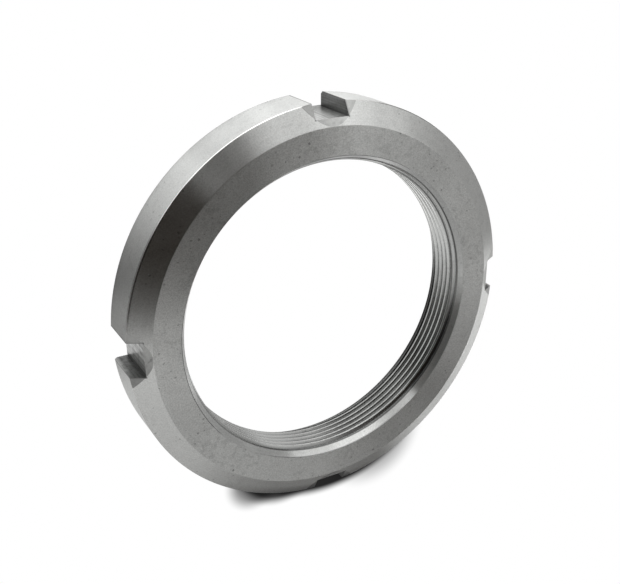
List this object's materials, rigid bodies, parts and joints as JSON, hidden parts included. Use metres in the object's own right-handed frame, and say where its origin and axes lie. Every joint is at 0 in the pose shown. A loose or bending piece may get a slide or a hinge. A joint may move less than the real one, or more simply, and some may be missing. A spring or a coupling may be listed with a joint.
{
  "type": "bearing lock nut",
  "caption": "Flat slotted ring nut of steel with a fine internal thread, for holding a rolling bearing on its shaft.",
  "frame": {"origin": "centre of the flat back face, on the bore axis, where the nut lies on a surface", "axes": "+Z along the bore axis, out of the chamfered clamping face; +X and +Y through the middles of two neighbouring spanner slots"},
  "size_m": [0.1196, 0.1196, 0.016],
  "materials": {
    "steel": "satin, turned and milled"
  },
  "bodies": {
    "root": {"lock_nut": "steel"}
  },
  "joints": []
}
